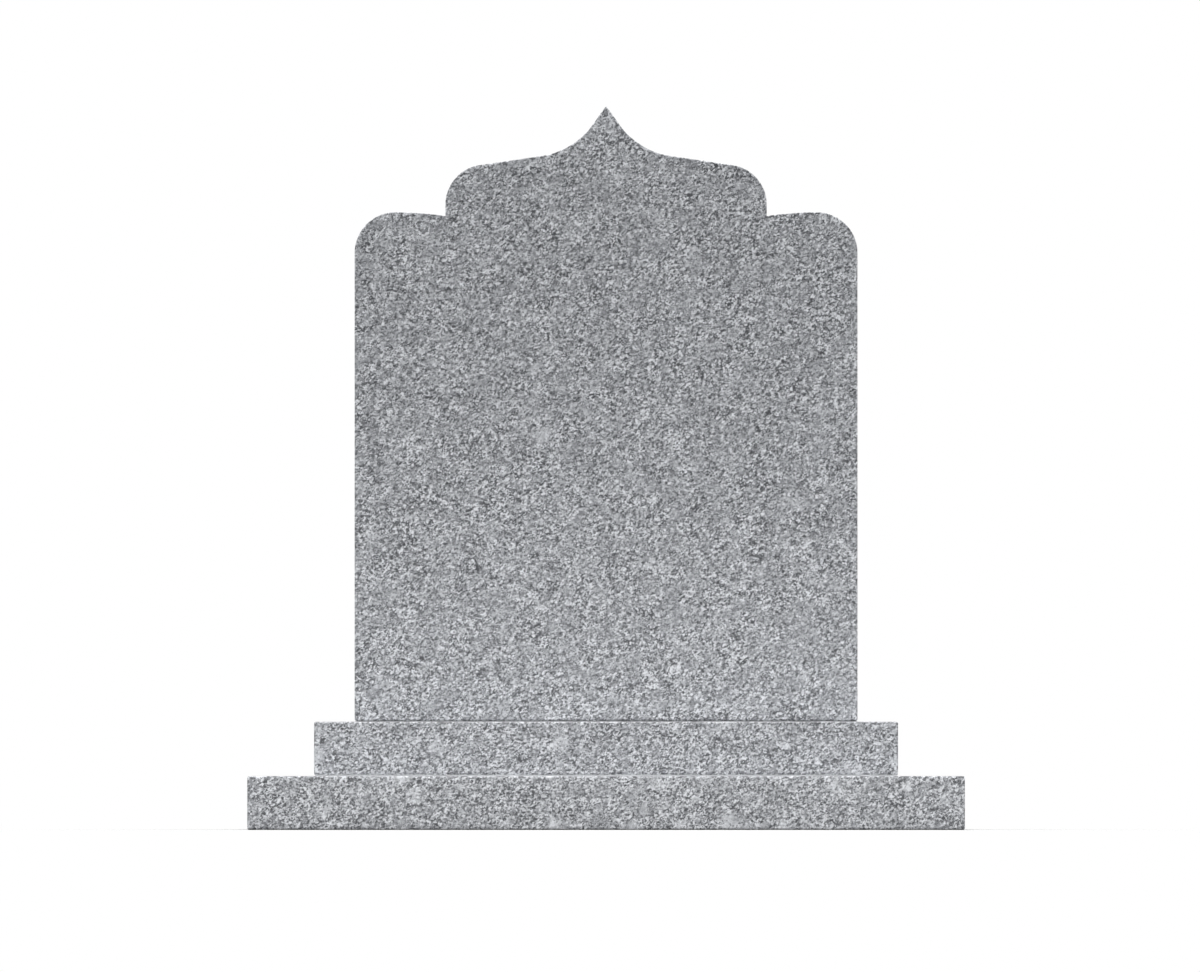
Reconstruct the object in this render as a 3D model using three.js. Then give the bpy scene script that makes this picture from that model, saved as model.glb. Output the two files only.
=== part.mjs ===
// Granite headstone: an upright tablet with an ogee crown, bedded on a stepped base of two slabs.
// Millimetres, +Z up. The origin is the middle of the lower base's underside, and the front faces -Y.
import {
  BoxGeometry,
  ExtrudeGeometry,
  Group,
  MathUtils,
  Mesh,
  MeshStandardMaterial,
  Shape,
  Vector2,
} from "three";

// Base slabs, each projecting beyond what it carries by the same ledge all round
const LOWER_BASE_WIDTH = 1000;
const UPPER_BASE_WIDTH = 815;
const UPPER_BASE_DEPTH = 300;
const SLAB_HEIGHT = 75;

// Tablet, measured up from its own foot
const TABLET_WIDTH = 703;
const TABLET_THICKNESS = 100;
const TABLET_HEIGHT = 860;

// Lower shoulders: a low sweep out of the notch, then a round corner down to the side
const LOWER_SHOULDER_HEIGHT = 711.3;
const LOWER_SHOULDER_RADIUS = 57;
const SWEEP_RUN = 35;
const SWEEP_RADIUS = 440;

// Crown: upright sides, round corners, sloping shoulders and a hollow flank up to the point
const CROWN_WIDTH = 449;
const NOTCH_HEIGHT = 706;
const CROWN_CORNER_HEIGHT = 770;
const CROWN_CORNER_RADIUS = 54;
const CROWN_SLOPE = MathUtils.degToRad(8.5);
const FLANK_SLOPE = MathUtils.degToRad(54.5);
const FLANK_RADIUS = 96;

// Every outer edge is eased, and the upright corners are a little rounder
const EASE = 1.5;
const EASE_SEGMENTS = 2;
const CORNER_RADIUS = 2.5;

// Setting compound in each bed, kept back a little from the faces of the block above
const BED_THICKNESS = 1;
const BED_SETBACK = 1;

// A chord stands in for its arc where they part by no more than this
const ARC_TOLERANCE = 0.08;

// Colours of the stone and of the compound between the blocks
const GRANITE_GREY = 0x9ea1a5;
const COMPOUND_WHITE = 0xe2e3e6;

// Points along the arc that rounds one corner of an outline, or the corner itself if it is sharp
function cornerPoints(before, { at, radius }, after) {
  if (radius === 0) return [at];
  const arriving = at.clone().sub(before).normalize();
  const leaving = after.clone().sub(at).normalize();
  const turn = Math.atan2(arriving.cross(leaving), arriving.dot(leaving));
  const start = at.clone().addScaledVector(arriving, -radius * Math.tan(Math.abs(turn) / 2));
  const inward = new Vector2(-arriving.y, arriving.x).multiplyScalar(Math.sign(turn) * radius);
  const centre = start.clone().add(inward);
  const step = 2 * Math.acos(1 - ARC_TOLERANCE / radius);
  const steps = Math.ceil(Math.abs(turn) / step);
  const along = (k) => start.clone().rotateAround(centre, (turn * k) / steps);
  return Array.from({ length: steps + 1 }, (_, k) => along(k));
}

// Closed outline through a list of corners, each rounded to its own radius
function roundedOutline(corners) {
  const points = corners.flatMap((bend, index) => {
    const before = corners.at(index - 1).at;
    const after = corners[(index + 1) % corners.length].at;
    return cornerPoints(before, bend, after);
  });
  return new Shape(points);
}

function corner(x, y, radius = 0) {
  return { at: new Vector2(x, y), radius };
}

// Front elevation of the tablet, from its right foot round over the point to its left foot
function tabletOutline() {
  const side = TABLET_WIDTH / 2;
  const crownSide = CROWN_WIDTH / 2;
  const rise = TABLET_HEIGHT - CROWN_CORNER_HEIGHT - crownSide * Math.tan(CROWN_SLOPE);
  const flankFootX = rise / (Math.tan(FLANK_SLOPE) - Math.tan(CROWN_SLOPE));
  const flankFootY = TABLET_HEIGHT - flankFootX * Math.tan(FLANK_SLOPE);
  const right = [
    corner(side, 0, CORNER_RADIUS),
    corner(side, LOWER_SHOULDER_HEIGHT, LOWER_SHOULDER_RADIUS),
    corner(crownSide + SWEEP_RUN, LOWER_SHOULDER_HEIGHT, SWEEP_RADIUS),
    corner(crownSide, NOTCH_HEIGHT),
    corner(crownSide, CROWN_CORNER_HEIGHT, CROWN_CORNER_RADIUS),
    corner(flankFootX, flankFootY, FLANK_RADIUS),
  ];
  const left = right.map(({ at, radius }) => corner(-at.x, at.y, radius)).reverse();
  return roundedOutline([...right, corner(0, TABLET_HEIGHT), ...left]);
}

// Plan of a base slab, centred on the origin
function slabOutline(width, depth) {
  const x = width / 2;
  const y = depth / 2;
  return roundedOutline([
    corner(x, -y, CORNER_RADIUS),
    corner(x, y, CORNER_RADIUS),
    corner(-x, y, CORNER_RADIUS),
    corner(-x, -y, CORNER_RADIUS),
  ]);
}

// Block of an outline's shape from z = 0 up to its thickness, with the edges of both faces eased
function easedBlock(outline, thickness) {
  const block = new ExtrudeGeometry(outline, {
    depth: thickness - 2 * EASE,
    bevelThickness: EASE,
    bevelSize: EASE,
    bevelOffset: -EASE,
    bevelSegments: EASE_SEGMENTS,
  });
  return block.translate(0, 0, EASE);
}

// Tablet stood upright on z = 0, midway between front and back
function tabletGeometry() {
  const slab = easedBlock(tabletOutline(), TABLET_THICKNESS);
  return slab.rotateX(Math.PI / 2).translate(0, TABLET_THICKNESS / 2, 0);
}

// Bed of compound from z = 0 up, under a block of this width and depth
function bedGeometry(width, depth) {
  const bed = new BoxGeometry(width - 2 * BED_SETBACK, depth - 2 * BED_SETBACK, BED_THICKNESS);
  return bed.translate(0, 0, BED_THICKNESS / 2);
}

function granite() {
  return new MeshStandardMaterial({ color: GRANITE_GREY, roughness: 0.55, metalness: 0 });
}

function settingCompound() {
  return new MeshStandardMaterial({ color: COMPOUND_WHITE, roughness: 0.9, metalness: 0 });
}

function piece(name, geometry, material) {
  const mesh = new Mesh(geometry, material);
  mesh.name = name;
  return mesh;
}

const lowerBaseDepth = UPPER_BASE_DEPTH + LOWER_BASE_WIDTH - UPPER_BASE_WIDTH;
const lowerSlab = easedBlock(slabOutline(LOWER_BASE_WIDTH, lowerBaseDepth), SLAB_HEIGHT);
const upperSlab = easedBlock(slabOutline(UPPER_BASE_WIDTH, UPPER_BASE_DEPTH), SLAB_HEIGHT);
const baseBed = bedGeometry(UPPER_BASE_WIDTH, UPPER_BASE_DEPTH);
const tabletBed = bedGeometry(TABLET_WIDTH, TABLET_THICKNESS);

// Pieces from the ground up, each with its height
const courses = [
  [piece("lower_base", lowerSlab, granite()), SLAB_HEIGHT],
  [piece("base_bed_joint", baseBed, settingCompound()), BED_THICKNESS],
  [piece("upper_base", upperSlab, granite()), SLAB_HEIGHT],
  [piece("tablet_bed_joint", tabletBed, settingCompound()), BED_THICKNESS],
  [piece("headstone_tablet", tabletGeometry(), granite()), TABLET_HEIGHT],
];

const headstone = new Group();
headstone.name = "headstone";
let standingHeight = 0;
for (const [mesh, height] of courses) {
  mesh.position.z = standingHeight;
  headstone.add(mesh);
  standingHeight += height;
}

export default headstone;
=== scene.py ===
"""Granite headstone: an ogee-headed tablet bedded on two base slabs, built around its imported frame."""

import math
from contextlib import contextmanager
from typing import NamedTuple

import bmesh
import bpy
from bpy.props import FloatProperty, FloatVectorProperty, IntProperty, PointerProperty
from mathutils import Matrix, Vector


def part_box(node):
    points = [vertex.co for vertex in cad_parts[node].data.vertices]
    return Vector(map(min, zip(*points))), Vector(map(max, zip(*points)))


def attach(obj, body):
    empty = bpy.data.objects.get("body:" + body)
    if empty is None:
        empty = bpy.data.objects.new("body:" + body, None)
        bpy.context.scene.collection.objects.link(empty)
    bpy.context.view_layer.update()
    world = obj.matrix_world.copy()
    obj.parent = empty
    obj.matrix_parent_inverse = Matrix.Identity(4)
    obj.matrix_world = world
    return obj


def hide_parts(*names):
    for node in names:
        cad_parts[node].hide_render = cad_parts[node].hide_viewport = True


bl_info = {
    "name": "Granite Headstone",
    "version": (1, 0, 0),
    "blender": (4, 5, 0),
    "location": "View3D > Sidebar > Headstone",
    "description": "Models a granite tablet with an ogee crown on a stepped base, in a plain white studio",
    "category": "Object",
}

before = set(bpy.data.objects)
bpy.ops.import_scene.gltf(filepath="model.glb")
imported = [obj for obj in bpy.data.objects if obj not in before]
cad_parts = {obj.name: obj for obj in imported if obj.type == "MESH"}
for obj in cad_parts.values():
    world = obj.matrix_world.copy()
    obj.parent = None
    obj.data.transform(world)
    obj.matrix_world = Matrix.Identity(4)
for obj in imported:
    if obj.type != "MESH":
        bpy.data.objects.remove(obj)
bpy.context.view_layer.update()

# Two places nearer than this are the same place, in metres
TOUCHING = 0.00001
# Cuts that one call of the subdivide operator makes at most
MOST_CUTS = 100
# A face whose normal has at least this much of an axis faces along it
SQUARE_ON = 0.999
# A face whose normal has less than this of the upright axis is steep
STEEP = 0.5
# Edges that the outline turns less than this at are dissolved
STRAIGHT_ON = math.radians(0.1)
# Faces round a corner of the tablet's head, and round its low sweeps
CORNER_STEPS = 20
SWEEP_STEPS = 8
# Distance between one node and the next in a node tree
NODE_SPACING = 200


class HeadstoneOutline(bpy.types.PropertyGroup):
    """Head of the tablet. The frame gives the tablet's width, height and thickness"""

    shoulder_height: FloatProperty(
        name="Shoulder Height",
        description="Top of the lower shoulders above the tablet's foot",
        default=0.7113,
        precision=4,
        unit="LENGTH",
    )
    shoulder_radius: FloatProperty(
        name="Shoulder Radius",
        description="Round corner of the lower shoulders",
        default=0.057,
        precision=4,
        unit="LENGTH",
    )
    sweep_run: FloatProperty(
        name="Sweep Run",
        description="Run of the low sweep from the notch up to the shoulder's top",
        default=0.035,
        precision=4,
        unit="LENGTH",
    )
    sweep_radius: FloatProperty(
        name="Sweep Radius",
        description="Radius of the low sweep",
        default=0.44,
        precision=4,
        unit="LENGTH",
    )
    notch_height: FloatProperty(
        name="Notch Height",
        description="Foot of the crown's upright sides above the tablet's foot",
        default=0.706,
        precision=4,
        unit="LENGTH",
    )
    crown_width: FloatProperty(
        name="Crown Width",
        description="Distance between the crown's upright sides",
        default=0.449,
        precision=4,
        unit="LENGTH",
    )
    crown_corner_height: FloatProperty(
        name="Crown Corner Height",
        description="Where the crown's slope would meet its upright side, above the tablet's foot",
        default=0.770,
        precision=4,
        unit="LENGTH",
    )
    crown_corner_radius: FloatProperty(
        name="Crown Corner Radius",
        description="Round corner between the crown's slope and its side",
        default=0.054,
        precision=4,
        unit="LENGTH",
    )
    crown_slope: FloatProperty(
        name="Crown Slope",
        description="Fall of the crown's shoulders from level",
        default=math.radians(8.5),
        subtype="ANGLE",
    )
    flank_slope: FloatProperty(
        name="Flank Slope",
        description="Fall of the flanks at the point from level",
        default=math.radians(54.5),
        subtype="ANGLE",
    )
    flank_radius: FloatProperty(
        name="Flank Radius",
        description="Hollow between a flank and the crown's shoulder",
        default=0.096,
        precision=4,
        unit="LENGTH",
    )


class HeadstoneStonework(bpy.types.PropertyGroup):
    """How the edges of the blocks are eased"""

    head_arris: FloatProperty(
        name="Head Arris",
        description="Radius of the front and back edges of the tablet",
        default=0.0010,
        precision=4,
        unit="LENGTH",
    )
    ledge_arris: FloatProperty(
        name="Ledge Arris",
        description="Radius of the upper edges of a base slab",
        default=0.0024,
        precision=4,
        unit="LENGTH",
    )
    foot_arris: FloatProperty(
        name="Foot Arris",
        description="Radius of the lower edges of every block",
        default=0.0032,
        precision=4,
        unit="LENGTH",
    )
    upright_arris: FloatProperty(
        name="Upright Arris",
        description="Radius of the upright corners of a base slab",
        default=0.0015,
        precision=4,
        unit="LENGTH",
    )
    arris_steps: IntProperty(
        name="Arris Steps",
        description="Faces across an eased edge",
        default=3,
        min=1,
    )
    grain_depth: FloatProperty(
        name="Grain Depth",
        description="How far the grain of the stone throws an eased edge in and out",
        default=0.0002,
        precision=5,
        unit="LENGTH",
    )
    grain_spacing: FloatProperty(
        name="Grain Spacing",
        description="Distance between the points that carry that unevenness",
        default=0.004,
        precision=4,
        unit="LENGTH",
    )


class HeadstoneGranite(bpy.types.PropertyGroup):
    """Minerals and finishes of the granite, and the compound in the beds"""

    crystal: FloatProperty(
        name="Crystal",
        description="Width of a usual crystal",
        default=0.0021,
        precision=4,
        unit="LENGTH",
    )
    foliation: FloatProperty(
        name="Foliation",
        description="How much longer the crystals are along the lie of the stone than across it",
        default=1.18,
        min=1,
    )
    foliation_slope: FloatProperty(
        name="Foliation Slope",
        description="Rise of the lie of the stone from left to right",
        default=math.radians(28),
        subtype="ANGLE",
    )
    contrast: FloatProperty(
        name="Contrast",
        description="How far the crystals of the tablet differ in tone",
        default=1.28,
        min=0,
    )
    base_contrast: FloatProperty(
        name="Base Contrast",
        description="How far the crystals of the base slabs differ in tone",
        default=1.42,
        min=0,
    )
    # Painted shade: the two base shades make the slabs' granite darker than the tablet's, standing in for
    # less light falling on the slabs
    upper_base_painted_shade: FloatProperty(
        name="Upper Base Shade",
        description="Shade of the upper base's stone against the tablet's",
        default=0.90,
        min=0,
        max=1,
        subtype="FACTOR",
    )
    lower_base_painted_shade: FloatProperty(
        name="Lower Base Shade",
        description="Shade of the lower base's stone against the tablet's",
        default=0.945,
        min=0,
        max=1,
        subtype="FACTOR",
    )
    feldspar: FloatVectorProperty(
        name="Feldspar",
        description="Palest crystals",
        default=(0.72, 0.735, 0.765),
        min=0,
        max=1,
        subtype="COLOR",
    )
    quartz: FloatVectorProperty(
        name="Quartz",
        description="Middle grey crystals",
        default=(0.335, 0.345, 0.365),
        min=0,
        max=1,
        subtype="COLOR",
    )
    mica: FloatVectorProperty(
        name="Mica",
        description="Darkest crystals and flakes",
        default=(0.06, 0.063, 0.070),
        min=0,
        max=1,
        subtype="COLOR",
    )
    mica_share: FloatProperty(
        name="Mica Share",
        description="Share of the surface that dark flakes take",
        default=0.10,
        min=0,
        max=1,
        subtype="FACTOR",
    )
    large_share: FloatProperty(
        name="Large Share",
        description="Share of the tablet's stone that has a much larger pale crystal",
        default=0.005,
        min=0,
        max=1,
        subtype="FACTOR",
    )
    base_large_share: FloatProperty(
        name="Base Large Share",
        description="Share of the base slabs' stone that has a much larger pale crystal",
        default=0.16,
        min=0,
        max=1,
        subtype="FACTOR",
    )
    honed: FloatProperty(
        name="Honed Roughness",
        description="Roughness of the honed faces",
        default=0.50,
        min=0,
        max=1,
        subtype="FACTOR",
    )
    sawn: FloatProperty(
        name="Sawn Roughness",
        description="Roughness of the sawn backs and undersides",
        default=0.75,
        min=0,
        max=1,
        subtype="FACTOR",
    )
    compound: FloatVectorProperty(
        name="Compound",
        description="Pale setting compound in the beds",
        default=(0.82, 0.83, 0.85),
        min=0,
        max=1,
        subtype="COLOR",
    )


class HeadstoneStudio(bpy.types.PropertyGroup):
    """Camera, lights, floor and walls"""

    distance: FloatProperty(
        name="Camera Distance",
        description="From the camera to the middle of the headstone",
        default=60.0,
        unit="LENGTH",
    )
    camera_height: FloatProperty(
        name="Camera Height",
        description="Height of the camera, level with the ledges, so that they are seen edge on",
        default=0.113,
        precision=4,
        unit="LENGTH",
    )
    frame_width: FloatProperty(
        name="Frame Width",
        description="Width that the picture shows at the front of the upper base",
        default=1.6748,
        precision=4,
        unit="LENGTH",
    )
    aim_across: FloatProperty(
        name="Aim Across",
        description="Middle of the picture, left to right",
        default=-0.0085,
        precision=4,
        unit="LENGTH",
    )
    aim_height: FloatProperty(
        name="Aim Height",
        description="Middle of the picture above the floor",
        default=0.4799,
        precision=4,
        unit="LENGTH",
    )
    top_power: FloatProperty(
        name="Top Power",
        description="Softbox overhead, a little to the front",
        default=940.0,
        unit="POWER",
    )
    front_power: FloatProperty(
        name="Front Power",
        description="Low softbox in front, which lights the foot more than the head",
        default=6.0,
        unit="POWER",
    )
    side_power: FloatProperty(
        name="Side Power",
        description="Each of the two softboxes behind, which light the ends and the back",
        default=60.0,
        unit="POWER",
    )
    ambient: FloatProperty(
        name="Ambient",
        description="Brightness of the white walls as the stone sees them",
        default=0.6,
        min=0,
    )
    floor_radius: FloatProperty(
        name="Floor Radius",
        description="Radius of the floor, which has faded to white long before its edge",
        default=6.0,
        unit="LENGTH",
    )
    floor: FloatVectorProperty(
        name="Floor",
        description="Pale floor",
        default=(0.52, 0.52, 0.52),
        min=0,
        max=1,
        subtype="COLOR",
    )


@contextmanager
def editing(block):
    """Edit mode on one object, with nothing else selected."""
    bpy.ops.object.select_all(action="DESELECT")
    block.select_set(True)
    bpy.context.view_layer.objects.active = block
    bpy.ops.object.mode_set(mode="EDIT")
    yield
    bpy.ops.object.mode_set(mode="OBJECT")


def pick(block, kind, wanted):
    """Selects, in edit mode, only those vertices, edges or faces that wanted() is true of."""
    bpy.ops.mesh.select_mode(type=kind)
    bpy.ops.mesh.select_all(action="DESELECT")
    mesh = bmesh.from_edit_mesh(block.data)
    parts = {"VERT": mesh.verts, "EDGE": mesh.edges, "FACE": mesh.faces}[kind]
    chosen = [part for part in parts if wanted(part)]
    if not chosen:
        raise RuntimeError(f"{block.name} has no such {kind.lower()} to select")
    for part in chosen:
        part.select_set(True)
    bmesh.update_edit_mesh(block.data)


def near(a, b):
    return abs(a - b) < TOUCHING


def lies_at(edge, axis, *places):
    """Whether both ends of an edge are at one of these places along an axis."""
    return any(all(near(vertex.co[axis], place) for vertex in edge.verts) for place in places)


def faces_up(face):
    return face.normal.z > SQUARE_ON


def faces_down(face):
    return face.normal.z < -SQUARE_ON


def faces_back(face):
    return face.normal.y > SQUARE_ON


def is_steep(face):
    return abs(face.normal.z) < STEEP


def start_block(name, low, high):
    """Adds a cube that fills the box between two corners, with its place in its mesh."""
    bpy.ops.object.select_all(action="DESELECT")
    bpy.ops.mesh.primitive_cube_add(size=1, location=(low + high) / 2, scale=high - low)
    block = bpy.context.object
    block.name = block.data.name = name
    bpy.ops.object.transform_apply(location=True, rotation=True, scale=True)
    return block


def ease_edges(radius, steps):
    """Rounds the selected edges to an arc."""
    bpy.ops.mesh.bevel(
        offset=radius, segments=steps, profile=0.5, affect="EDGES", clamp_overlap=False
    )


def cut_long_edges(block, spacing):
    """Cuts every long edge, and the ring of edges beside it, into lengths of about the spacing."""
    bpy.ops.mesh.select_mode(type="EDGE")
    while True:
        mesh = bmesh.from_edit_mesh(block.data)
        longest = max(mesh.edges, key=lambda edge: edge.calc_length())
        pieces = round(longest.calc_length() / spacing)
        if pieces < 2:
            return
        if pieces > MOST_CUTS:
            pieces = math.ceil(math.sqrt(pieces))
        bpy.ops.mesh.select_all(action="DESELECT")
        longest.select_set(True)
        bmesh.update_edit_mesh(block.data)
        bpy.ops.mesh.loop_multi_select(ring=True)
        bpy.ops.mesh.subdivide(number_cuts=pieces - 1)


def roughen(depth, seed):
    """Throws the selected vertices in and out along their normals."""
    bpy.ops.transform.vertex_random(offset=depth, uniform=0, normal=1, seed=seed)


def wear_edges(block, low, high, stonework, seed):
    """Lets the grain show in the eased edges, and leaves the block's flat sides flat."""

    def inside(vertex):
        return not any(near(vertex.co[i], low[i]) or near(vertex.co[i], high[i]) for i in range(3))

    cut_long_edges(block, stonework.grain_spacing)
    pick(block, "VERT", inside)
    roughen(stonework.grain_depth, seed)


def smooth(block):
    """Smooth shading that keeps the large sides flat."""
    bpy.ops.object.select_all(action="DESELECT")
    block.select_set(True)
    bpy.context.view_layer.objects.active = block
    bpy.ops.object.shade_smooth()
    bpy.ops.object.modifier_add(type="WEIGHTED_NORMAL")
    modifier = block.modifiers[-1]
    modifier.weight = 100
    bpy.ops.object.modifier_apply(modifier=modifier.name)


def settle(piece, node):
    """Lets a finished piece ride on the headstone in place of its CAD node."""
    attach(piece, "root")
    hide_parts(node)


def raise_points(tablet, across, height, new_height):
    """Moves the points this far left and right of the middle from one height to another."""
    pick(tablet, "VERT", lambda vertex: near(abs(vertex.co.x), across) and near(vertex.co.z, height))
    bpy.ops.transform.translate(value=(0, 0, new_height - height))


def round_corner(tablet, across, height, radius, turn, steps):
    """Rounds the upright outline's pair of corners at this place, which turn by this angle."""

    def runs_through(edge):
        ends = [vertex.co for vertex in edge.verts]
        at_corner = all(near(abs(end.x), across) and near(end.z, height) for end in ends)
        return at_corner and not near(ends[0].y, ends[1].y)

    pick(tablet, "EDGE", runs_through)
    ease_edges(radius * math.tan(turn / 2), steps)


def model_tablet(outline, stonework):
    """The tablet: a block up to its lower shoulders, out of which the crown and its point are raised."""
    low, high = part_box("headstone_tablet")
    shoulder = low.z + outline.shoulder_height
    crown_corner = low.z + outline.crown_corner_height
    crown_side = outline.crown_width / 2
    sweep_top = crown_side + outline.sweep_run
    slope, flank = math.tan(outline.crown_slope), math.tan(outline.flank_slope)
    hollow_x = (high.z - crown_corner - crown_side * slope) / (flank - slope)
    hollow_z = high.z - hollow_x * flank
    sweep_turn = math.atan2(outline.shoulder_height - outline.notch_height, outline.sweep_run)
    quarter_turn = math.pi / 2
    crown_turn = quarter_turn - outline.crown_slope
    hollow_turn = outline.flank_slope - outline.crown_slope
    steps = stonework.arris_steps
    tablet = start_block("Tablet", low, Vector((high.x, high.y, shoulder)))
    with editing(tablet):
        # The top is cut where the outline changes direction, and the crown's part of it is raised
        for place in (-sweep_top, -crown_side, -hollow_x, 0, hollow_x, crown_side, sweep_top):
            bpy.ops.mesh.select_all(action="SELECT")
            bpy.ops.mesh.bisect(plane_co=(place, 0, 0), plane_no=(1, 0, 0))

        def is_under_crown(face):
            return faces_up(face) and abs(face.calc_center_median().x) < crown_side

        pick(tablet, "FACE", is_under_crown)
        rise = (0, 0, crown_corner - shoulder)
        bpy.ops.mesh.extrude_region_move(TRANSFORM_OT_translate={"value": rise})
        raise_points(tablet, crown_side, shoulder, low.z + outline.notch_height)
        raise_points(tablet, hollow_x, crown_corner, hollow_z)
        raise_points(tablet, 0, crown_corner, high.z)
        bpy.ops.mesh.select_all(action="SELECT")
        bpy.ops.mesh.dissolve_limited(angle_limit=STRAIGHT_ON)

        # Each corner of the outline is rounded, and the notches and the point stay sharp
        corners = (
            (high.x, shoulder, outline.shoulder_radius, quarter_turn, CORNER_STEPS),
            (sweep_top, shoulder, outline.sweep_radius, sweep_turn, SWEEP_STEPS),
            (crown_side, crown_corner, outline.crown_corner_radius, crown_turn, CORNER_STEPS),
            (hollow_x, hollow_z, outline.flank_radius, hollow_turn, CORNER_STEPS),
        )
        for across, height, radius, turn, corner_steps in corners:
            round_corner(tablet, across, height, radius, turn, corner_steps)

        # The foot is eased more than the rest, and first, so that the other edges run down into it
        pick(tablet, "EDGE", lambda edge: lies_at(edge, 2, low.z))
        ease_edges(stonework.foot_arris, steps)
        foot_top = low.z + stonework.foot_arris

        def is_still_sharp(edge):
            borders_a_face = lies_at(edge, 1, low.y, high.y) and not lies_at(edge, 2, foot_top)
            return borders_a_face or is_upright_corner(edge, low, high)

        pick(tablet, "EDGE", is_still_sharp)
        ease_edges(stonework.head_arris, steps)
        wear_edges(tablet, low, high, stonework, seed=11)
    return tablet


def is_upright_corner(edge, low, high):
    """Whether an edge runs up a corner of a block's plan, or down into its eased foot or top."""
    ends = [vertex.co for vertex in edge.verts]
    at_corner = all(near(high.x - abs(end.x), high.y - abs(end.y)) for end in ends)
    return at_corner and not near(ends[0].z, ends[1].z)


def model_slab(name, node, stonework, seed):
    """A base slab, its lower edges eased more than its upper ones."""
    low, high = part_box(node)
    slab = start_block(name, low, high)
    steps = stonework.arris_steps
    with editing(slab):
        pick(slab, "EDGE", lambda edge: lies_at(edge, 2, low.z))
        ease_edges(stonework.foot_arris, steps)
        pick(slab, "EDGE", lambda edge: lies_at(edge, 2, high.z))
        ease_edges(stonework.ledge_arris, steps)
        pick(slab, "EDGE", lambda edge: is_upright_corner(edge, low, high))
        ease_edges(stonework.upright_arris, steps)
        wear_edges(slab, low, high, stonework, seed)
    return slab


def room_under(carried, node, radius):
    """Height of the hollow over a bed's edge, under the rounded foot of the block that it carries."""
    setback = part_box(carried)[1].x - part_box(node)[1].x
    return radius - math.sqrt(radius ** 2 - (radius - setback) ** 2)


def model_bed(name, node, lip, stonework, seed):
    """A thin bed of setting compound between two blocks, its edge pressed up by the lip's height."""
    low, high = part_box(node)
    bed = start_block(name, low, high + Vector((0, 0, lip)))
    with editing(bed):
        pick(bed, "EDGE", lambda edge: is_upright_corner(edge, low, high))
        ease_edges(stonework.upright_arris, stonework.arris_steps)
        if lip:
            pick(bed, "FACE", faces_up)
            bpy.ops.mesh.inset(thickness=lip, depth=-lip)
        cut_long_edges(bed, stonework.grain_spacing)
        pick(bed, "FACE", is_steep)
        roughen(stonework.grain_depth, seed)
    return bed


def finish_block(block, finishes, sawn_side):
    """Gives a block its honed finish, and its sawn one on the faces that sawn_side() is true of."""
    for material in finishes:
        block.data.materials.append(material)
    with editing(block):
        pick(block, "FACE", sawn_side)
        block.active_material_index = 1
        bpy.ops.object.material_slot_assign()
    smooth(block)


class BlockOfStone(NamedTuple):
    """What sets one block's granite apart, its crystals shifted so that no block repeats another"""

    name: str
    offset: tuple
    contrast: float
    large_share: float
    # shade darkens the block's granite; on the base slabs it is painted shade for less light on them
    shade: float = 1.0


class Wiring:
    """Adds nodes to a node tree and joins their sockets."""

    def __init__(self, tree):
        self.tree = tree
        self.across = 0

    def add(self, kind, inputs=None, **settings):
        """A new node to the right of the last. Each input is another node's socket or a plain value."""
        node = self.tree.nodes.new(kind)
        node.location = (self.across, 0)
        self.across += NODE_SPACING
        for name, value in settings.items():
            setattr(node, name, value)
        for name, value in (inputs or {}).items():
            self.feed(node.inputs[name], value)
        return node

    def feed(self, socket, value):
        """Links a socket to another node's socket, or sets its own value."""
        if isinstance(value, bpy.types.NodeSocket):
            self.tree.links.new(value, socket)
        else:
            socket.default_value = value

    def maths(self, operation, first, second=0.0):
        """The result of a maths operation on one or two values."""
        return self.add("ShaderNodeMath", {0: first, 1: second}, operation=operation).outputs[0]

    def vector_maths(self, operation, inputs):
        """The vector that a maths operation on vectors gives."""
        return self.add("ShaderNodeVectorMath", inputs, operation=operation).outputs["Vector"]

    def blend(self, factor, first, second):
        """A colour between two others."""
        mix = self.add("ShaderNodeMix", data_type="RGBA")
        self.feed(mix.inputs["Factor"], factor)
        self.feed(mix.inputs[6], first)
        self.feed(mix.inputs[7], second)
        return mix.outputs[2]

    def remap(self, value, low, high, new_low, new_high):
        """A value stretched from one range to another, and held there."""
        inputs = {
            "Value": value,
            "From Min": low,
            "From Max": high,
            "To Min": new_low,
            "To Max": new_high,
        }
        return self.add("ShaderNodeMapRange", inputs).outputs["Result"]


def opaque(rgb, shade=1.0):
    """A colour made darker by a shade, with its alpha."""
    return (*(value * shade for value in rgb), 1.0)


def random_cells(wires, place, density):
    """A random number for each crystal, at this many per metre, and the distance from its middle."""
    cells = wires.add("ShaderNodeTexVoronoi", {"Vector": place, "Scale": density})
    lot = wires.add("ShaderNodeSeparateColor", {"Color": cells.outputs["Color"]}).outputs["Red"]
    return lot, cells.outputs["Distance"]


def random_tone(wires, place, density):
    """A random number for each crystal, at this many crystals per metre."""
    return random_cells(wires, place, density)[0]


def noise_tone(wires, place, density):
    """A number that wanders smoothly round a half, this many times per metre."""
    inputs = {"Vector": place, "Scale": density, "Detail": 2.0}
    return wires.add("ShaderNodeTexNoise", inputs).outputs["Fac"]


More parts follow.
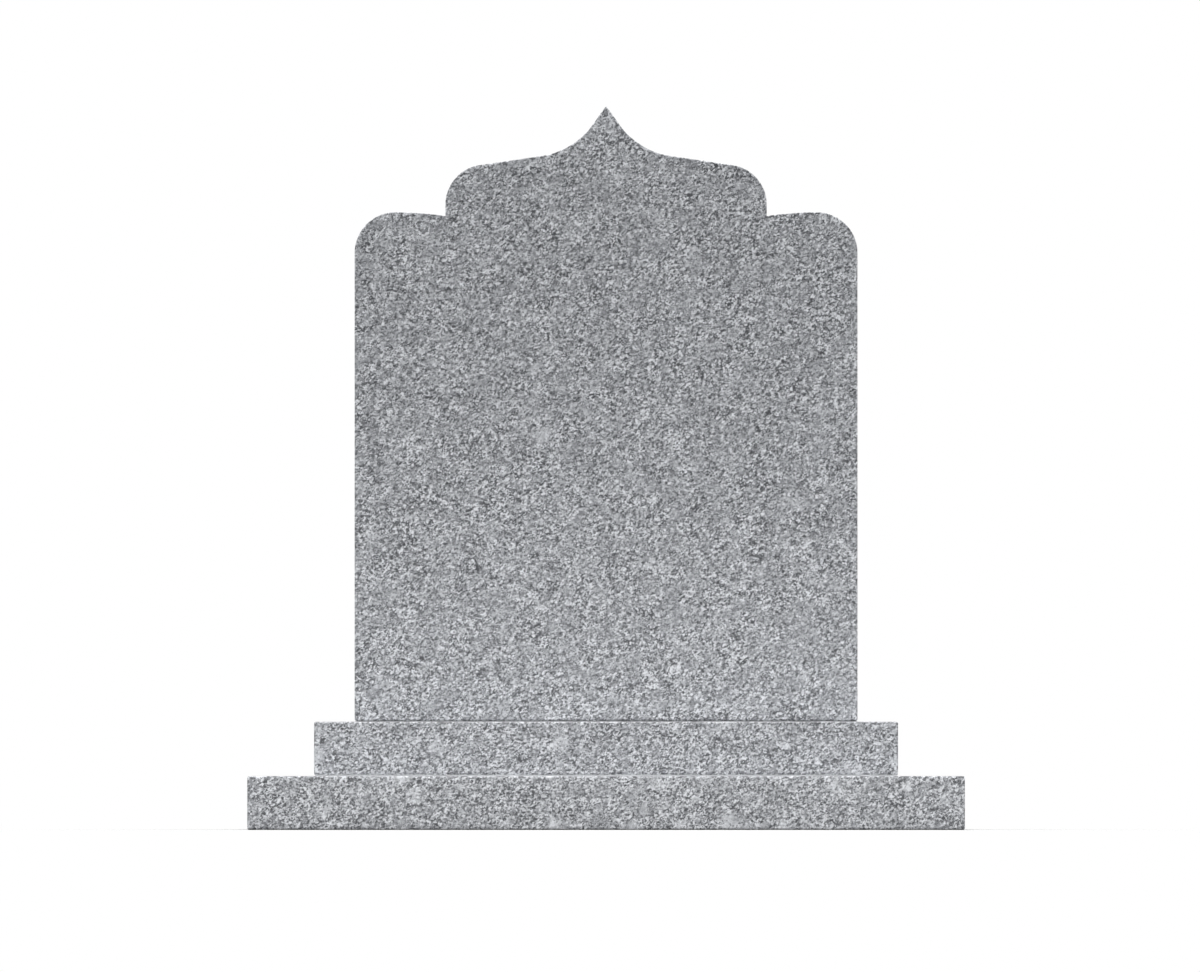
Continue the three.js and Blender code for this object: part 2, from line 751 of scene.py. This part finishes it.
def granite_group():
    """Crystals of a light grey granite, as colour, roughness and relief."""
    group = bpy.data.node_groups.new("Granite Crystals", "ShaderNodeTree")
    sockets = group.interface
    sockets.new_socket("Vector", in_out="INPUT", socket_type="NodeSocketVector")
    for name in ("Crystals per Metre", "Contrast", "Mica Share", "Large Share", "Roughness"):
        sockets.new_socket(name, in_out="INPUT", socket_type="NodeSocketFloat")
    for name in ("Feldspar", "Quartz", "Mica"):
        sockets.new_socket(name, in_out="INPUT", socket_type="NodeSocketColor")
    sockets.new_socket("Color", in_out="OUTPUT", socket_type="NodeSocketColor")
    sockets.new_socket("Roughness", in_out="OUTPUT", socket_type="NodeSocketFloat")
    sockets.new_socket("Relief", in_out="OUTPUT", socket_type="NodeSocketFloat")
    wires = Wiring(group)
    given = wires.add("NodeGroupInput").outputs
    density = given["Crystals per Metre"]

    def times_density(factor):
        return wires.maths("MULTIPLY", density, factor)

    # The outlines of the crystals wander, so they are looked up a little to one side
    wander = 1.6
    inputs = {"Vector": given["Vector"], "Scale": times_density(0.8)}
    scatter = wires.add("ShaderNodeTexNoise", inputs).outputs["Color"]
    shift = wires.vector_maths("SUBTRACT", {0: scatter, 1: (0.5, 0.5, 0.5)})
    reach = wires.vector_maths("SCALE", {0: shift, "Scale": wires.maths("DIVIDE", wander, density)})
    place = wires.vector_maths("ADD", {0: given["Vector"], 1: reach})

    # Every crystal has a tone of its own, among larger crystals, a fine grain and faint clouds
    layers = (
        (random_tone(wires, place, density), 0.55),
        (random_tone(wires, place, times_density(0.55)), 0.25),
        (noise_tone(wires, given["Vector"], times_density(2.2)), 0.20),
        (noise_tone(wires, given["Vector"], times_density(0.09)), 0.13),
    )
    tone = -sum(weight for _, weight in layers) / 2
    for layer, weight in layers:
        tone = wires.maths("ADD", tone, wires.maths("MULTIPLY", layer, weight))

    # Some patches of the stone are more even than others
    even, lively = 0.62, 1.38
    patches = noise_tone(wires, given["Vector"], times_density(0.12))
    liveliness = wires.remap(patches, 0.35, 0.65, even, lively)
    contrast = wires.maths("MULTIPLY", liveliness, given["Contrast"])
    tone = wires.maths("MULTIPLY", tone, contrast)

    # Here and there a much larger crystal is pale all over, and soft at its edge
    core, rim = 0.25, 0.6
    plainness, paleness = 0.4, 0.2
    lot, off_centre = random_cells(wires, place, times_density(0.08))
    chosen = wires.maths("LESS_THAN", lot, given["Large Share"])
    large = wires.maths("MULTIPLY", chosen, wires.remap(off_centre, core, rim, 1, 0))
    tone = wires.maths("MULTIPLY", tone, wires.remap(large, 0, 1, 1, plainness))
    tone = wires.maths("ADD", tone, wires.maths("MULTIPLY", large, paleness))

    # The tone runs from mica over quartz to feldspar
    end = 0.4
    dark_to_grey = wires.blend(wires.remap(tone, -end, 0, 0, 1), given["Mica"], given["Quartz"])
    crystals = wires.blend(wires.remap(tone, 0, end, 0, 1), dark_to_grey, given["Feldspar"])

    # Separate flakes of mica are darker and shinier, and stand a little lower
    darkness, shine, sinking = 0.75, 0.7, 0.6
    flakes = random_tone(wires, place, times_density(1.25))
    flake = wires.maths("LESS_THAN", flakes, given["Mica Share"])
    color = wires.blend(wires.maths("MULTIPLY", flake, darkness), crystals, given["Mica"])
    dullness = wires.maths("MULTIPLY", wires.remap(tone, -end, end, 0.86, 1.1), given["Roughness"])
    roughness = wires.maths("MULTIPLY", dullness, wires.remap(flake, 0, 1, 1, shine))
    relief = wires.maths("SUBTRACT", tone, wires.maths("MULTIPLY", flake, sinking))
    wires.add("NodeGroupOutput", {"Color": color, "Roughness": roughness, "Relief": relief})
    return group


def start_material(name):
    """A material with a Principled shader alone, and the wiring to add to it."""
    material = bpy.data.materials.new(name)
    material.use_nodes = True
    tree = material.node_tree
    tree.nodes.clear()
    wires = Wiring(tree)
    shader = wires.add("ShaderNodeBsdfPrincipled")
    wires.add("ShaderNodeOutputMaterial", {"Surface": shader.outputs["BSDF"]})
    return material, wires, shader


def place_granite(wires, stone, block, roughness):
    """The granite group on a piece's own coordinates, stretched along the lie of the stone."""
    crystals = bpy.data.node_groups.get("Granite Crystals") or granite_group()
    own = wires.add("ShaderNodeTexCoord").outputs["Object"]
    lie = wires.add(
        "ShaderNodeMapping",
        {
            "Vector": own,
            "Location": block.offset,
            "Rotation": (0, -stone.foliation_slope, 0),
            "Scale": (stone.foliation, 1, 1),
        },
        vector_type="TEXTURE",
    )
    minerals = wires.add("ShaderNodeGroup", node_tree=crystals)
    inputs = {
        "Vector": lie.outputs["Vector"],
        "Crystals per Metre": 1 / stone.crystal,
        "Contrast": block.contrast,
        "Mica Share": stone.mica_share,
        "Large Share": block.large_share,
        "Roughness": roughness,
        # The block's shade darkens all three minerals: painted shade on the base slabs
        "Feldspar": opaque(stone.feldspar, block.shade),
        "Quartz": opaque(stone.quartz, block.shade),
        "Mica": opaque(stone.mica, block.shade),
    }
    for name, value in inputs.items():
        wires.feed(minerals.inputs[name], value)
    return minerals, own


def wire_granite(wires, shader, minerals, height, strength, distance):
    """Feeds the shader the minerals' colour and roughness, and a relief of this height."""
    inputs = {"Height": height, "Strength": strength, "Distance": distance}
    relief = wires.add("ShaderNodeBump", inputs)
    wires.feed(shader.inputs["Base Color"], minerals.outputs["Color"])
    wires.feed(shader.inputs["Roughness"], minerals.outputs["Roughness"])
    wires.feed(shader.inputs["Normal"], relief.outputs["Normal"])


def honed_granite(stone, block):
    """Granite rubbed smooth but not polished, as on every side that shows."""
    material, wires, shader = start_material(f"{block.name} Honed")
    minerals, _ = place_granite(wires, stone, block, stone.honed)
    grain = minerals.outputs["Relief"]
    wire_granite(wires, shader, minerals, grain, strength=0.3, distance=0.0002)
    return material


def sawn_granite(stone, block):
    """Granite as it leaves the saw, with faint marks from side to side."""
    material, wires, shader = start_material(f"{block.name} Sawn")
    minerals, own = place_granite(wires, stone, block, stone.sawn)
    marks_along, marks_across = 1.2, 150
    inputs = {"Vector": own, "Scale": (marks_along, marks_across, marks_across)}
    cut = wires.add("ShaderNodeMapping", inputs).outputs["Vector"]
    marks = wires.add("ShaderNodeTexNoise", {"Vector": cut, "Scale": 1.0, "Detail": 3.0})
    grain = wires.maths("MULTIPLY", minerals.outputs["Relief"], 0.5)
    height = wires.maths("ADD", grain, marks.outputs["Fac"])
    wire_granite(wires, shader, minerals, height, strength=0.5, distance=0.0008)
    return material


def setting_compound(stone):
    """Pale cement compound with fine sand in it."""
    material, wires, shader = start_material("Setting Compound")
    own = wires.add("ShaderNodeTexCoord").outputs["Object"]
    grains_per_metre = 900.0
    inputs = {"Vector": own, "Scale": grains_per_metre, "Detail": 3.0}
    sand = wires.add("ShaderNodeTexNoise", inputs).outputs["Fac"]
    dark, pale = opaque(stone.compound, 0.88), opaque(stone.compound)
    tint = wires.blend(wires.remap(sand, 0.35, 0.65, 0, 1), dark, pale)
    relief = wires.add("ShaderNodeBump", {"Height": sand, "Strength": 0.5, "Distance": 0.0004})
    wires.feed(shader.inputs["Base Color"], tint)
    wires.feed(shader.inputs["Normal"], relief.outputs["Normal"])
    shader.inputs["Roughness"].default_value = 0.9
    return material


def finishes(stone, block):
    """Honed and sawn granite for one block."""
    return honed_granite(stone, block), sawn_granite(stone, block)


class HEADSTONE_OT_tablet(bpy.types.Operator):
    """Model the upright tablet in granite, honed in front and round its edges and sawn behind"""

    bl_idname = "headstone.tablet"
    bl_label = "Tablet"
    bl_options = {"REGISTER", "UNDO"}

    def execute(self, context):
        scene = context.scene
        stone = scene.headstone_granite
        tablet = model_tablet(scene.headstone_outline, scene.headstone_stonework)
        block = BlockOfStone("Tablet", (0.31, 0.17, 0.53), stone.contrast, stone.large_share)
        finish_block(tablet, finishes(stone, block), faces_back)
        settle(tablet, "headstone_tablet")
        return {"FINISHED"}


class HEADSTONE_OT_base_slabs(bpy.types.Operator):
    """Model the two base slabs in granite, honed where they show and sawn below"""

    bl_idname = "headstone.base_slabs"
    bl_label = "Base Slabs"
    bl_options = {"REGISTER", "UNDO"}

    def execute(self, context):
        scene = context.scene
        stone = scene.headstone_granite
        bases = stone.base_contrast, stone.base_large_share
        # Each slab's granite is darkened by its shade: painted shade for less light on the slabs
        upper = BlockOfStone("Upper Base", (1.27, 0.62, 0.11), *bases, stone.upper_base_painted_shade)
        lower = BlockOfStone("Lower Base", (2.08, 1.41, 0.77), *bases, stone.lower_base_painted_shade)
        for block, node, seed in ((upper, "upper_base", 23), (lower, "lower_base", 37)):
            slab = model_slab(block.name.replace(" ", "_"), node, scene.headstone_stonework, seed)
            finish_block(slab, finishes(stone, block), faces_down)
            settle(slab, node)
        return {"FINISHED"}


class HEADSTONE_OT_bed_joints(bpy.types.Operator):
    """Model the two thin beds of setting compound between the blocks"""

    bl_idname = "headstone.bed_joints"
    bl_label = "Bed Joints"
    bl_options = {"REGISTER", "UNDO"}

    def execute(self, context):
        stonework = context.scene.headstone_stonework
        compound = setting_compound(context.scene.headstone_granite)

        # The upper base's bed is pointed up to its foot, and the tablet's is left struck back
        pointing = room_under("upper_base", "base_bed_joint", stonework.foot_arris)
        beds = (
            ("Tablet_Bed", "tablet_bed_joint", 0, 41),
            ("Base_Bed", "base_bed_joint", pointing, 53),
        )
        for name, node, lip, seed in beds:
            bed = model_bed(name, node, lip, stonework, seed)
            bed.data.materials.append(compound)
            smooth(bed)
            settle(bed, node)
        return {"FINISHED"}


def add_camera(studio):
    """A long lens from far away, so that the picture is nearly an elevation of the front."""
    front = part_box("upper_base")[0].y
    place = Vector((studio.aim_across, -studio.distance, studio.camera_height))
    aim = Vector((studio.aim_across, front, studio.aim_height))
    sight = aim - place
    bpy.ops.object.camera_add(location=place, rotation=sight.to_track_quat("-Z", "Y").to_euler())
    camera = bpy.context.object
    camera.name = "Elevation_Camera"
    camera.data.sensor_width = 36
    camera.data.lens = camera.data.sensor_width * sight.length / studio.frame_width
    camera.data.clip_end = 2 * studio.distance
    bpy.context.scene.camera = camera


def add_softbox(name, place, aim, width, height, power):
    """A rectangular light, aimed at a point, that the camera doesn't see."""
    turned = (Vector(aim) - Vector(place)).to_track_quat("-Z", "Y").to_euler()
    bpy.ops.object.light_add(type="AREA", location=place, rotation=turned)
    softbox = bpy.context.object
    softbox.name = name
    softbox.data.shape = "RECTANGLE"
    softbox.data.size = width
    softbox.data.size_y = height
    softbox.data.energy = power
    softbox.visible_camera = False


def add_floor(studio):
    """A pale round floor that fades into the white of the walls."""
    bpy.ops.object.select_all(action="DESELECT")
    bpy.ops.mesh.primitive_circle_add(vertices=96, radius=studio.floor_radius, fill_type="NGON")
    floor = bpy.context.object
    floor.name = "Floor"
    material, wires, shader = start_material("Pale Floor")
    wires.feed(shader.inputs["Base Color"], opaque(studio.floor))
    wires.feed(shader.inputs["Roughness"], 1.0)
    wires.feed(shader.inputs["Specular IOR Level"], 0.0)
    own = wires.add("ShaderNodeTexCoord").outputs["Object"]

    # The floor fades out along an oval that is wider than it is deep, as the headstone is
    fade_from, fade_to = 0.42, 0.78
    oval = wires.vector_maths("MULTIPLY", {0: own, 1: (0.6, 1, 0)})
    outward = wires.add("ShaderNodeVectorMath", {0: oval}, operation="LENGTH").outputs["Value"]
    white = wires.add("ShaderNodeEmission", {"Color": opaque((1, 1, 1))}).outputs["Emission"]
    whiteness = wires.remap(outward, fade_from, fade_to, 0, 1)
    inputs = {0: whiteness, 1: shader.outputs["BSDF"], 2: white}
    fade = wires.add("ShaderNodeMixShader", inputs).outputs["Shader"]

    # Only the camera sees the floor so pale: as from turf, hardly any light comes back to the stone
    turf = wires.add("ShaderNodeBsdfDiffuse", {"Color": opaque((0.08, 0.08, 0.08))}).outputs["BSDF"]
    seen = wires.add("ShaderNodeLightPath").outputs["Is Camera Ray"]
    surface = wires.add("ShaderNodeMixShader", {0: seen, 1: turf, 2: fade}).outputs["Shader"]
    wires.feed(material.node_tree.nodes["Material Output"].inputs["Surface"], surface)
    floor.data.materials.append(material)


def paint_walls(studio):
    """White walls, which the camera sees brighter than the stone does."""
    world = bpy.data.worlds.new("White Walls")
    bpy.context.scene.world = world
    world.use_nodes = True
    world.node_tree.nodes.clear()
    wires = Wiring(world.node_tree)
    seen = wires.add("ShaderNodeLightPath").outputs["Is Camera Ray"]
    strength = wires.remap(seen, 0, 1, studio.ambient, 1)
    walls = wires.add("ShaderNodeBackground", {"Color": opaque((1, 1, 1)), "Strength": strength})
    wires.add("ShaderNodeOutputWorld", {"Surface": walls.outputs["Background"]})


class HEADSTONE_OT_stage(bpy.types.Operator):
    """Set up the camera, the soft lights, the pale floor and the white walls"""

    bl_idname = "headstone.stage"
    bl_label = "Stage"
    bl_options = {"REGISTER", "UNDO"}

    def execute(self, context):
        studio = context.scene.headstone_studio
        context.scene.view_settings.view_transform = "Standard"
        add_camera(studio)
        middle, foot = (0, 0, 0.4), (0, 0, 0.15)
        overhead, low_in_front = (0, -2, 9), (0, -0.8, 0.15)
        add_softbox("Top_Softbox", overhead, middle, 6, 6, studio.top_power)
        add_softbox("Front_Softbox", low_in_front, foot, 3.6, 0.08, studio.front_power)
        for side, name in ((-1, "Left_Softbox"), (1, "Right_Softbox")):
            behind = (3.2 * side, 1.8, 2.4)
            add_softbox(name, behind, middle, 1.8, 2.4, studio.side_power)
        add_floor(studio)
        paint_walls(studio)
        return {"FINISHED"}


class HEADSTONE_PT_sidebar(bpy.types.Panel):
    """Sizes and colours of the headstone, with the steps that use them"""

    bl_idname = "HEADSTONE_PT_sidebar"
    bl_label = "Granite Headstone"
    bl_space_type = "VIEW_3D"
    bl_region_type = "UI"
    bl_category = "Headstone"

    def draw(self, context):
        for name, title in TITLES.items():
            settings = getattr(context.scene, name)
            box = self.layout.box()
            box.label(text=title)
            for key in type(settings).__annotations__:
                box.prop(settings, key)
        for operator in OPERATORS:
            self.layout.operator(operator.bl_idname)


SETTINGS = {
    "headstone_outline": HeadstoneOutline,
    "headstone_stonework": HeadstoneStonework,
    "headstone_granite": HeadstoneGranite,
    "headstone_studio": HeadstoneStudio,
}
TITLES = {
    "headstone_outline": "Tablet's Head",
    "headstone_stonework": "Stonework",
    "headstone_granite": "Granite and Compound",
    "headstone_studio": "Studio",
}
OPERATORS = (
    HEADSTONE_OT_tablet,
    HEADSTONE_OT_base_slabs,
    HEADSTONE_OT_bed_joints,
    HEADSTONE_OT_stage,
)
CLASSES = (*SETTINGS.values(), *OPERATORS, HEADSTONE_PT_sidebar)


def register():
    for cls in CLASSES:
        bpy.utils.register_class(cls)
    for name, cls in SETTINGS.items():
        setattr(bpy.types.Scene, name, PointerProperty(type=cls))


def unregister():
    for name in SETTINGS:
        delattr(bpy.types.Scene, name)
    for cls in reversed(CLASSES):
        bpy.utils.unregister_class(cls)


def main():
    register()
    bpy.ops.headstone.tablet()
    bpy.ops.headstone.base_slabs()
    bpy.ops.headstone.bed_joints()
    bpy.ops.headstone.stage()


if __name__ == "__main__":
    main()
